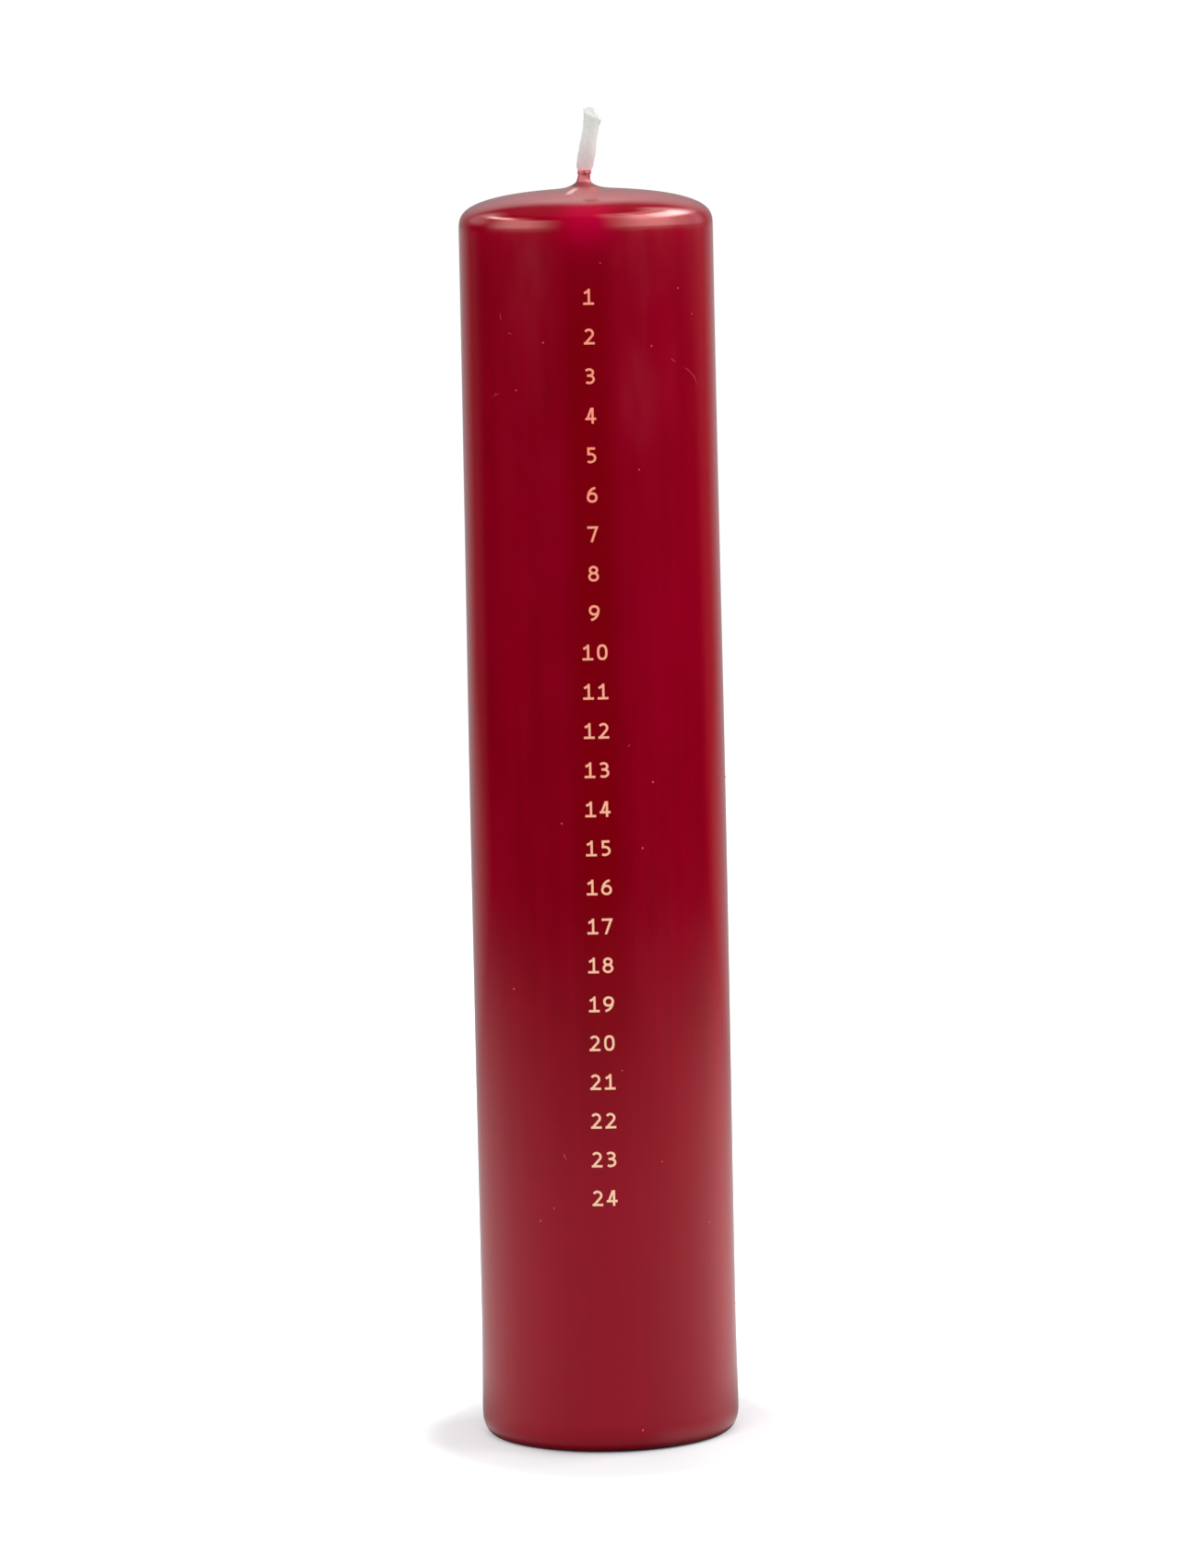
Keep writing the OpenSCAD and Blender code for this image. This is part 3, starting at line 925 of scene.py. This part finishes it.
def cotton_material():
    """Bleached cotton with a little wax: pink where it leaves the candle, white where the cut bares it."""
    creep_h, wet_h = 8.0, 0.9
    cotton, bright_cotton, grey_cotton = colour(202, 206, 203), colour(210, 213, 210), colour(192, 190, 186)
    waxed, wet_cotton = colour(198, 178, 178), colour(242, 184, 188)
    bared_cotton, cut_cotton = colour(232, 234, 231), colour(208, 210, 208)
    material = bpy.data.materials.new("braided_cotton")
    n = Nodes(material)
    place = n.place()
    x, _, z = n.split(place)
    yarn = n.noise(place, (0.12, 0.12, 0.7), detail=3, roughness=0.6)
    patch = n.noise(place, (1.2, 1.2, 2.0), detail=2)
    base = n.blend(n.fade(yarn, 0.3, 0.7), cotton, bright_cotton)
    base = n.blend(n.fade(patch, 0.4, 0.75, 0.0, 0.15), base, grey_cotton)
    base = n.blend(n.fade(z, COLLAR_TOP + creep_h, COLLAR_TOP, 0.0, 0.8), base, waxed)
    base = n.blend(n.fade(z, COLLAR_TOP + wet_h, COLLAR_TOP + 0.1, 0.0, 0.9), base, wet_cotton)
    bared = n.math("MULTIPLY_ADD", yarn, 0.25, n.math("MULTIPLY_ADD", x, BARE_SLOPE, z))
    base = n.blend(n.fade(bared, BARE_Z - 0.12, BARE_Z + 0.12), base, bared_cotton)
    cut = n.math("MULTIPLY_ADD", x, math.tan(CUT_SLOPE), z)
    rim_z = cut_z(Vector(), FRAY_L)
    base = n.blend(n.fade(cut, rim_z, rim_z + 0.3), base, cut_cotton)
    n.principled({
        "Base Color": base,
        "Roughness": n.fade(yarn, 0.2, 0.8, 0.65, 0.85),
        "Specular IOR Level": 0.25,
        "Subsurface Weight": 0.35,
        "Subsurface Radius": (1.0, 0.9, 0.85),
        "Subsurface Scale": 0.0008,
        "Sheen Weight": 0.2,
        "Sheen Roughness": 0.5,
        "Normal": n.bump(yarn, 0.4, 0.00008),
    })
    return material


def tinplate_material():
    """Tin with its spangle, brushed a little by the press."""
    material = bpy.data.materials.new("stamped_tinplate")
    n = Nodes(material)
    place = n.place()
    spangle = n.add("TexVoronoi", {"Vector": place, "Scale": 0.8}, feature="F1")
    haze = n.noise(place, (2, 2, 2), detail=4)
    brush = n.noise(place, (0.12, 6, 1), detail=2)
    n.principled({
        "Base Color": n.blend(haze, colour(176, 178, 180), colour(206, 206, 204)),
        "Metallic": 1.0,
        "Roughness": n.math("ADD", n.fade(spangle, 0.0, 1.0, 0.25, 0.4), n.product(haze, 0.1)),
        "Normal": n.bump(brush, 0.15, 0.0001),
    })
    return material


def foil_material():
    """Stamped foil: rosier at the top of the candle and yellower below, with slight wear."""
    rosy, yellow, worn = colour(253, 152, 124), colour(255, 206, 172), colour(214, 120, 90)
    material = bpy.data.materials.new("stamped_gold_foil")
    n = Nodes(material)
    place = n.place()
    z = n.split(place)["Z"]
    base = n.blend(n.fade(z, NUMERAL_HIGH - 20, NUMERAL_LOW), rosy, yellow)
    wear = n.noise(place, (0.35, 0.35, 0.35), detail=3, roughness=0.6)
    n.principled({
        "Base Color": n.blend(n.fade(wear, 0.55, 0.8, 0.0, 0.3), base, worn),
        "Metallic": 0.2,
        "Roughness": n.fade(wear, 0.3, 0.7, 0.38, 0.5),
        "Normal": n.bump(wear, 0.2, 0.00005),
    })
    return material


def mark_material():
    """Bruised, paler wax of specks and scratches. The smudge at the left, round faint_z, is the faintest."""
    faint_z = 203.0
    material = bpy.data.materials.new("bruised_red_wax")
    n = Nodes(material)
    place = n.place()
    x, y, z = n.split(place)
    azimuth = n.azimuth(x, y)
    grain = n.noise(place, (0.2, 0.2, 0.2), detail=2)
    faint = n.product(
        n.fade(azimuth, -42.0, -43.8, 0.0, 0.85),
        n.fade(azimuth, -52.0, -50.0),
        n.fade(n.beside(n.math("SUBTRACT", z, faint_z)), 2.6, 1.8),
    )
    bruised = n.blend(grain, colour(190, 38, 62), colour(206, 76, 88))
    n.principled({
        "Base Color": n.blend(faint, bruised, colour(142, 8, 34)),
        "Roughness": n.fade(grain, 0.3, 0.7, 0.35, 0.5),
        "Subsurface Weight": 0.2,
        "Subsurface Radius": (1.0, 0.3, 0.3),
        "Subsurface Scale": 0.0005,
    })
    return material


# The studio

# The camera, in metres and radians, fitted to the candle's outline and its numerals
CAMERA_DISTANCE = 1.3
CAMERA_HEIGHT = 0.25564
CAMERA_PITCH = 0.0989
CAMERA_YAW = -0.0003
CAMERA_ROLL = 0.0212
FOCAL_PX = 7318.3
LONG_SIDE_PX = 1700
SENSOR_MM = 36


def build_camera():
    """The camera at the photograph's viewing angle."""
    data = bpy.data.cameras.new("camera")
    data.sensor_width = SENSOR_MM
    data.lens = FOCAL_PX / LONG_SIDE_PX * SENSOR_MM
    data.clip_start = 0.05
    data.clip_end = 50
    camera = bpy.data.objects.new("camera", data)
    bpy.context.scene.collection.objects.link(camera)
    camera.matrix_world = (
        Matrix.Translation((0, -CAMERA_DISTANCE, CAMERA_HEIGHT))
        @ (Matrix.Rotation(CAMERA_YAW, 4, "Z") @ Matrix.Rotation(math.pi / 2 - CAMERA_PITCH, 4, "X"))
        @ Matrix.Rotation(-CAMERA_ROLL, 4, "Z")
    )
    bpy.context.scene.camera = camera


# Where the white backdrop begins, as the cosine of the angle from straight behind. The wax sees it dim at
# the horizon and brighter above, up to a top edge that falls towards the sides. Elevations are in degrees.
BACKDROP_EDGE = (0.55, 0.95)
BACKDROP_LIGHT = 0.47
BACKDROP_RISE = (6, 34, 0.34, 0.78)
BACKDROP_TOP = (42, 66)
BACKDROP_TOP_FALL = 0.5
# Its brighter middle: half width, light and the elevations where it begins
MIDDLE_HALF_W = 14
MIDDLE_LIGHT = 0.5
MIDDLE_RISE = (24, 38)
# A dim margin beside the backdrop
MARGIN_EDGE = (0.3, 0.6)
MARGIN_LIGHT = 0.09
# What the gloss sees in the rest of the room, and the even fill that all but the gloss gets
ROOM_LIGHT = 0.008
FILL_LIGHT = 0.55
# Only rays of one or two bounces see the soft boxes.
DIRECT_DEPTH = 2.5

# Soft boxes as the wax reflects them, in degrees: azimuth from, to and softness, elevation from, to and
# softness, strength. Azimuth 0 is the camera's side, and it grows to the right.
SOFT_BOXES = [
    (76, 122, 12, 28, 46, 6, 10.0),
    (48, 138, 12, 26, 60, 7, 2.8),
    (34, 92, 24, 2, 46, 2.5, 4.8),
    (18, 60, 10, 42, 62, 6, 1.8),
    (98, 132, 10, 1, 46, 3, 1.1),
    (-112, -76, 10, 28.7, 34.7, 3, 9.5),
    (-126, -60, 14, 28, 39, 4, 1.4),
    (-88, -38, 20, 2, 28, 2.5, 3.8),
    (-134, -104, 10, 8, 46, 6, 1.0),
    (-180, 180, 1, 50, 120, 8, 0.15),
]

# The table, in metres: half its side and its depth below the base
TABLE_HALF = 6.0
TABLE_DROP = 0.0001
# The contact with the foot is dark: distance from and to, and the share of the pool that is left at each.
CONTACT_DARK = (0.0238, 0.0262, 0.12, 1.0)
# On the near table the backdrop begins at a wider angle, reached over these distances.
NEAR_EDGE = 0.3
NEAR_EDGE_RUN = (2.0, 0.9)


def low_backdrop(n, back, edge=BACKDROP_EDGE[0]):
    """What the wax sees at the horizon and below. back is the share of the way that is straight back."""
    middle = n.fade(back, edge, BACKDROP_EDGE[1], 0.0, BACKDROP_LIGHT)
    return n.math("MAXIMUM", middle, n.fade(back, *MARGIN_EDGE, 0.0, MARGIN_LIGHT))


def floor_seen(n, x, y, right):
    """What the camera sees: white paper with the candle's shadow, which fades out beyond an oval."""
    oval = n.length(x, n.product(y, 0.72))
    fill = n.math(
        "ADD",
        n.fade(n.beside(right), 0.25, 0.85, 0.02, 0.19),
        n.fade(oval, 0.031, 0.046, 0.0, 0.6),
    )
    paper = n.add("BsdfDiffuse", {"Color": colour(224, 224, 226)})
    return n.add("AddShader", {0: paper, 1: n.add("Emission", {"Strength": fill})})


def floor_pool(n, distance, back, right):
    """What the wax sees: a pool of light, weaker in front, close by and straight behind."""
    near_behind = n.fade(back, -0.2, 0.4, 1.0, 0.5)
    pool = n.product(
        n.fade(distance, 0.15, 1.0, 0.92, 0.0),
        n.fade(distance, 0.024, 0.06, 0.8, 1.0),
        n.math("MINIMUM", n.math("MULTIPLY_ADD", back, 0.5, 0.88), 1.0),
        n.math("MULTIPLY_ADD", right, 0.08, 0.98),
        n.fade(back, 0.3, 0.9, 1.0, 0.8),
        n.fade(distance, 0.03, 0.09, near_behind, 1.0),
    )
    edge = n.fade(distance, *NEAR_EDGE_RUN, BACKDROP_EDGE[0], NEAR_EDGE)
    pool = n.math("MAXIMUM", pool, low_backdrop(n, back, edge))
    return n.product(pool, n.fade(distance, *CONTACT_DARK))


def build_floor():
    """A white table. From below it is clear, so that the base can be looked at."""
    mesh = bpy.data.meshes.new("floor")
    signs = [(-1, -1), (1, -1), (1, 1), (-1, 1)]
    corners = [(TABLE_HALF * x, TABLE_HALF * y, -TABLE_DROP) for x, y in signs]
    mesh.from_pydata(corners, [], [(0, 1, 2, 3)])
    floor = bpy.data.objects.new("floor", mesh)
    bpy.context.scene.collection.objects.link(floor)
    material = bpy.data.materials.new("white_table")
    n = Nodes(material)
    x, y, _ = n.split(n.add("TexCoord", output=3))
    distance = n.length(x, y)
    back, right = n.math("DIVIDE", y, distance), n.math("DIVIDE", x, distance)
    bounced = n.add("Emission", {"Strength": floor_pool(n, distance, back, right)})
    is_camera = n.add("LightPath", output=0)
    shader = n.add("MixShader", {0: is_camera, 1: bounced, 2: floor_seen(n, x, y, right)})
    from_below = n.add("NewGeometry", output=6)
    n.surface(n.add("MixShader", {0: from_below, 1: shader, 2: n.add("BsdfTransparent")}))
    material.cycles.emission_sampling = "NONE"
    mesh.materials.append(material)


def backdrop_light(n, azimuth, rise, back):
    """The backdrop that the gloss sees, brighter in the middle and above the horizon."""
    off = n.math("SUBTRACT", 180.0, n.beside(azimuth))
    lifted = n.math("MULTIPLY_ADD", off, BACKDROP_TOP_FALL, rise)
    behind = n.product(n.fade(back, *BACKDROP_EDGE), n.fade(lifted, BACKDROP_TOP[1], BACKDROP_TOP[0]))
    middle = n.product(n.fade(off, MIDDLE_HALF_W, 0, 0.0, MIDDLE_LIGHT), n.fade(rise, *MIDDLE_RISE))
    backdrop = n.product(behind, n.math("ADD", n.fade(rise, *BACKDROP_RISE), middle))
    low = n.product(n.fade(rise, 0.5, -0.5), low_backdrop(n, back))
    return n.math("MAXIMUM", backdrop, low)


def soft_box_light(n, azimuth, rise):
    """The soft boxes that the gloss sees."""
    mirrored = 0.0
    for left, right, side_soft, low, high, rise_soft, light in SOFT_BOXES:
        across = n.product(
            n.fade(azimuth, left - side_soft, left + side_soft, 0.0, light),
            n.fade(azimuth, right + side_soft, right - side_soft),
        )
        upright = n.product(
            n.fade(rise, low - rise_soft, low + rise_soft),
            n.fade(rise, high + rise_soft, high - rise_soft),
        )
        mirrored = n.math("MULTIPLY_ADD", across, upright, mirrored)
    return mirrored


def build_world():
    """White to the camera, soft boxes and a backdrop to the gloss, and an even soft fill to the rest."""
    world = bpy.data.worlds.new("studio")
    bpy.context.scene.world = world
    n = Nodes(world)
    x, y, z = n.split(n.add("TexCoord", output=0))
    azimuth = n.azimuth(x, y)
    rise = n.math("DEGREES", n.math("ARCSINE", z))
    back = n.math("DIVIDE", y, n.length(x, y))
    path = n.tree.nodes.new("ShaderNodeLightPath").outputs
    direct = n.math("LESS_THAN", path["Ray Depth"], DIRECT_DEPTH)
    room = n.math("ADD", backdrop_light(n, azimuth, rise, back), ROOM_LIGHT)
    mirrored = n.math("MULTIPLY_ADD", soft_box_light(n, azimuth, rise), direct, room)
    seen = n.math("MAXIMUM", path["Is Camera Ray"], path["Is Transmission Ray"])
    strength = n.mix(seen, n.mix(path["Is Glossy Ray"], FILL_LIGHT, mirrored), 1.0)
    background = n.add("Background", {"Color": (1, 1, 1, 1), "Strength": strength})
    n.add("OutputWorld", {"Surface": background})
    world.cycles.sampling_method = "NONE"


# Lamps: name, azimuth and elevation in degrees, distance, width and height in metres, power in watts
LAMPS = [
    ("key_right", 92, 25, 1.1, 1.2, 0.3, 11.8),
    ("key_left", -92, 22, 1.2, 0.9, 0.12, 3.9),
    ("fill_front", -10, 25, 1.6, 1.2, 1.2, 18.7),
]
LAMP_TARGET = (0, 0, 0.15)


def build_lamp(name, azimuth, elevation, distance, width, height, power):
    """A soft box aimed at the candle. The gloss sees those of the world instead."""
    data = bpy.data.lights.new(name, "AREA")
    data.shape = "RECTANGLE"
    data.size = width
    data.size_y = height
    data.energy = power
    lamp = bpy.data.objects.new(name, data)
    bpy.context.scene.collection.objects.link(lamp)
    rise = math.radians(elevation)
    out = around(math.radians(azimuth), math.cos(rise), math.sin(rise))
    lamp.location = Vector(LAMP_TARGET) + out * distance
    lamp.rotation_mode = "QUATERNION"
    lamp.rotation_quaternion = out.to_track_quat("Z", "Y")
    lamp.visible_glossy = False


bpy.context.scene.view_settings.view_transform = "Standard"
build_camera()
build_floor()
build_world()
for lamp_settings in LAMPS:
    build_lamp(*lamp_settings)

red_wax = red_wax_material()
marks = mark_material()
build_skin(red_wax)
build_core(core_wax_material())
build_sustainer(tinplate_material())
cotton = cotton_material()
build_wick(cotton)
build_fray(cotton)
build_specks(marks)
build_scratches(marks)

foil = foil_material()
for node_name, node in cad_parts.items():
    if node_name.startswith("numeral_"):
        node.material_slots[0].material = foil
